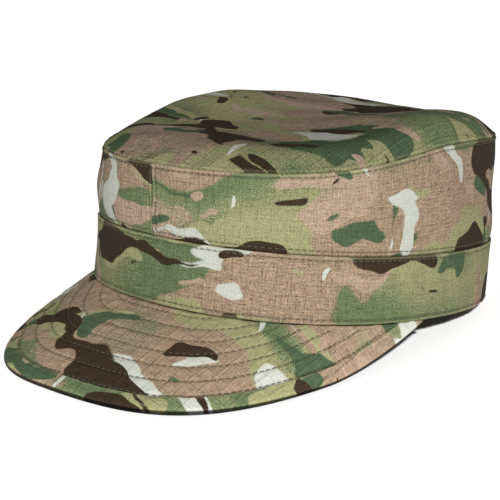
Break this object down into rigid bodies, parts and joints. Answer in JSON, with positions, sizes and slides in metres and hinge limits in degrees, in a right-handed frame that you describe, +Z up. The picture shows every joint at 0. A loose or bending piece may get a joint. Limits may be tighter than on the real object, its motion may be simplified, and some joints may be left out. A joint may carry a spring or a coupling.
{
  "type": "patrol cap",
  "caption": "Soft cloth patrol cap with an oval top panel, a seamed side wall, a doubled band and a short stiff bill, lying on its own rim.",
  "frame": {"origin": "on the surface that the cap lies on, under the middle of its outline", "axes": "+Z up, -Y the way the bill points, +X the wearer's left"},
  "size_m": [0.183, 0.2748, 0.1021],
  "materials": {
    "crown_cloth": "matt ripstop cloth in a camouflage of greens, tan, brown and off-white",
    "band_cloth": "matt ripstop cloth in a camouflage of greens, tan, brown and off-white, folded double",
    "bill_cloth": "matt ripstop cloth in a camouflage of greens, tan, brown and off-white, stitched in rows over a stiff core"
  },
  "bodies": {
    "root": {"crown_top": "crown_cloth", "crown_side_left": "crown_cloth", "crown_side_right": "crown_cloth", "band": "band_cloth", "bill": "bill_cloth"}
  },
  "joints": []
}
